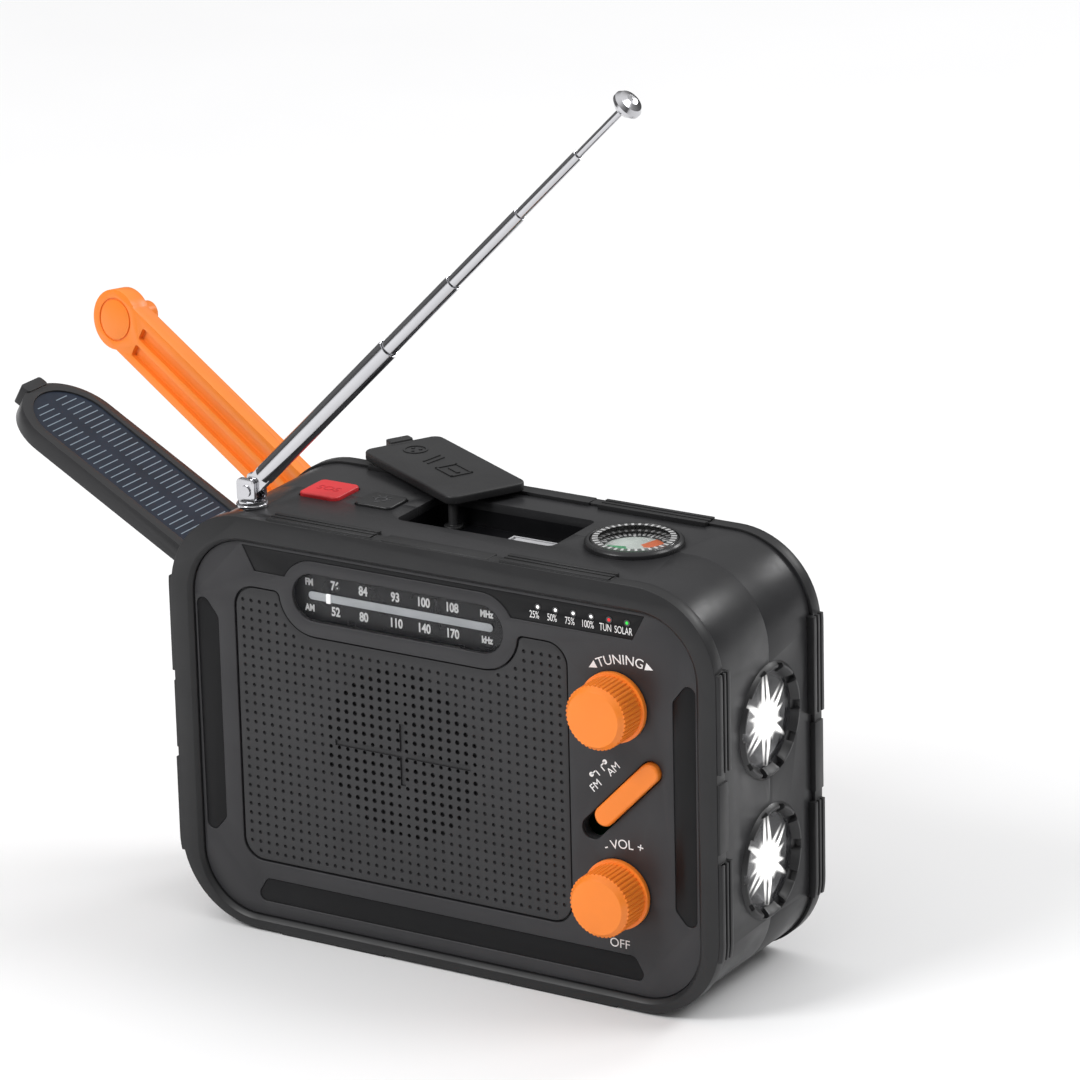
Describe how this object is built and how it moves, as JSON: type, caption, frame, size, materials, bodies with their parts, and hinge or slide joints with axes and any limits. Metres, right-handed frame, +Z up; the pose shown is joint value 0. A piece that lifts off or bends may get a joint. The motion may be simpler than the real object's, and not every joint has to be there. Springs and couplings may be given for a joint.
{
  "type": "emergency radio",
  "caption": "Rugged portable radio with a folding hand crank, a flip-up solar lid, side torches, a compass, tuning and volume knobs and a telescopic antenna.",
  "frame": {"origin": "under the middle of the case, on the surface that the lower ribs stand on", "axes": "+X to the right seen from the front, +Y towards the back, +Z up"},
  "size_m": [0.2174, 0.0881, 0.2171],
  "materials": {
    "case": "fine matte texture",
    "bumper": "soft matte",
    "face": "fine matte texture",
    "grille": "matte, perforated",
    "inlay": "satin",
    "window": "clear",
    "scale": "gloss black with a pale bar",
    "nylon": "moulded nylon",
    "cord": "braided",
    "socket": "plated",
    "light_guide": "clear moulding",
    "compass_body": "satin",
    "lens": "clear",
    "bezel": "matte",
    "reflector": "polished",
    "led": "white LED",
    "steel": "bright",
    "battery_sleeve": "printed sleeve",
    "cone": "pressed paper",
    "board": "green solder mask",
    "ferrite": "sintered",
    "chrome": "bright",
    "orange": "satin orange",
    "pointer": "bright",
    "red_key": "satin red",
    "black_key": "satin",
    "soft_cover": "soft matte",
    "compass_dial": "printed dial",
    "solar": "dark cell under glaze",
    "diffuser": "milky",
    "magnet": "sintered"
  },
  "bodies": {
    "root": {"front_shell": "case", "rear_shell": "case", "front_bumper": "bumper", "rear_bumper": "bumper", "face_plate": "face", "speaker_grille": "grille", "face_inlays": "inlay", "rear_inlays": "inlay", "dial_window": "window", "dial_scale": "scale", "tuning_capacitor": "nylon", "dial_cord": "cord", "guide_pulleys": "nylon", "volume_pot": "socket", "band_switch": "socket", "light_pipes": "light_guide", "port_bay": "case", "usb_sockets": "socket", "compass_housing": "compass_body", "compass_lens": "lens", "torch_bezels": "bezel", "torch_reflectors": "reflector", "torch_lenses": "lens", "torch_leds": "led", "generator_case": "steel", "battery": "battery_sleeve", "speaker_frame": "steel", "speaker_cone": "cone", "main_board": "board", "ferrite_rod": "ferrite", "strap_pin": "steel", "rear_screws": "chrome", "antenna_base": "bezel"},
    "tuning_knob": {"tuning_knob": "orange", "tuning_drum": "nylon"},
    "pointer": {"tuning_pointer": "pointer"},
    "volume_knob": {"volume_knob": "orange"},
    "band_slider": {"band_slider": "orange"},
    "sos_button": {"sos_button": "red_key"},
    "lamp_button": {"lamp_button": "black_key"},
    "cover_tether": {"cover_tether": "soft_cover"},
    "port_cover": {"port_cover": "soft_cover"},
    "compass_card": {"compass_card": "compass_dial"},
    "solar_lid": {"lid_frame": "case", "solar_cell": "solar", "reading_lamp": "diffuser"},
    "crank_hub": {"crank_hub": "orange", "drive_gear": "nylon"},
    "crank_fold_pin": {"crank_fold_pin": "steel"},
    "crank_arm": {"crank_arm": "orange"},
    "crank_knob": {"crank_knob": "orange"},
    "idler_gear": {"idler_gear": "nylon"},
    "generator_rotor": {"generator_rotor": "magnet"},
    "antenna_fork": {"antenna_fork": "chrome", "antenna_pin": "chrome"},
    "antenna_1": {"antenna_section_1": "chrome"},
    "antenna_2": {"antenna_section_2": "chrome"},
    "antenna_3": {"antenna_section_3": "chrome"},
    "antenna_4": {"antenna_section_4": "chrome"},
    "antenna_5": {"antenna_section_5": "chrome"}
  },
  "joints": [
    {"name": "tuning_spin", "type": "hinge", "parent": "root", "child": "tuning_knob", "pos_m": [0.047, 0, 0.0745], "axis": [0, 1, 0], "range_deg": [-32.5, 311]},
    {"name": "pointer_slide", "type": "slide", "parent": "root", "child": "pointer", "axis": [1, 0, 0], "range_m": [-0.0047, 0.0441]},
    {"name": "volume_spin", "type": "hinge", "parent": "root", "child": "volume_knob", "pos_m": [0.047, 0, 0.0285], "axis": [0, 1, 0], "range_deg": [-60, 240]},
    {"name": "band_slide", "type": "slide", "parent": "root", "child": "band_slider", "axis": [0.6947, 0, 0.7193], "range_m": [-0.0055, 0]},
    {"name": "sos_press", "type": "slide", "parent": "root", "child": "sos_button", "axis": [0, 0, -1], "range_m": [0, 0.001], "stiffness_N_per_m": 200, "springref_m": -0.003},
    {"name": "lamp_press", "type": "slide", "parent": "root", "child": "lamp_button", "axis": [0, 0, -1], "range_m": [0, 0.001], "stiffness_N_per_m": 200, "springref_m": -0.003},
    {"name": "cover_lift", "type": "slide", "parent": "root", "child": "cover_tether", "axis": [0, 0, 1], "range_m": [0, 0.003]},
    {"name": "cover_swivel", "type": "hinge", "parent": "cover_tether", "child": "port_cover", "pos_m": [-0.0153, 0.0082, 0.104], "axis": [0, 0, 1], "range_deg": [-151, 10]},
    {"name": "compass_spin", "type": "hinge", "parent": "root", "child": "compass_card", "pos_m": [0.0378, 0.002, 0.102], "axis": [0, 0, 1], "continuous": true},
    {"name": "lid_hinge", "type": "hinge", "parent": "root", "child": "solar_lid", "pos_m": [-0.07095, 0, 0.0833], "axis": [0, 1, 0], "range_deg": [-119.3, 10]},
    {"name": "crank_spin", "type": "hinge", "parent": "root", "child": "crank_hub", "pos_m": [-0.046, 0, 0.077], "axis": [0, 1, 0], "continuous": true, "deforming": ["port_cover"]},
    {"name": "crank_fold", "type": "hinge", "parent": "crank_hub", "child": "crank_fold_pin", "pos_m": [-0.04795, 0.0234, 0.07803], "axis": [-0.4664, 0, -0.8846], "range_deg": [0, 156]},
    {"name": "crank_stow", "type": "hinge", "parent": "crank_fold_pin", "child": "crank_arm", "pos_m": [-0.04795, 0.0234, 0.07803], "axis": [0.4664, 0, 0.8846], "range_deg": [-12, 0]},
    {"name": "knob_spin", "type": "hinge", "parent": "crank_arm", "child": "crank_knob", "pos_m": [-0.13438, 0.04417, 0.1236], "axis": [0.1839, 0.9781, -0.097], "continuous": true},
    {"name": "idler_spin", "type": "hinge", "parent": "root", "child": "idler_gear", "pos_m": [-0.02627, 0, 0.06982], "axis": [0, 1, 0], "continuous": true},
    {"name": "rotor_spin", "type": "hinge", "parent": "root", "child": "generator_rotor", "pos_m": [-0.02401, 0, 0.05702], "axis": [0, 1, 0], "continuous": true},
    {"name": "antenna_swivel", "type": "hinge", "parent": "root", "child": "antenna_fork", "pos_m": [-0.0564, -0.0154, 0.105], "axis": [0, 0, 1], "continuous": true},
    {"name": "antenna_tilt", "type": "hinge", "parent": "antenna_fork", "child": "antenna_1", "pos_m": [-0.0564, -0.0154, 0.1086], "axis": [0, -1, 0], "range_deg": [-45.2, 44.8]},
    {"name": "antenna_slide_2", "type": "slide", "parent": "antenna_1", "child": "antenna_2", "axis": [0.7046, 0, 0.7096], "range_m": [-0.0237, 0.0175]},
    {"name": "antenna_slide_3", "type": "slide", "parent": "antenna_2", "child": "antenna_3", "axis": [0.7046, 0, 0.7096], "range_m": [-0.0239, 0.0175]},
    {"name": "antenna_slide_4", "type": "slide", "parent": "antenna_3", "child": "antenna_4", "axis": [0.7046, 0, 0.7096], "range_m": [-0.0202, 0.0175]},
    {"name": "antenna_slide_5", "type": "slide", "parent": "antenna_4", "child": "antenna_5", "axis": [0.7046, 0, 0.7096], "range_m": [-0.0153, 0.0175]}
  ],
  "couplings": [
    {"joint": "pointer_slide", "follows": "tuning_spin", "m_per_rad": 0.00805},
    {"joint": "idler_spin", "follows": "crank_spin", "ratio": -4},
    {"joint": "rotor_spin", "follows": "crank_spin", "ratio": 13.333}
  ]
}
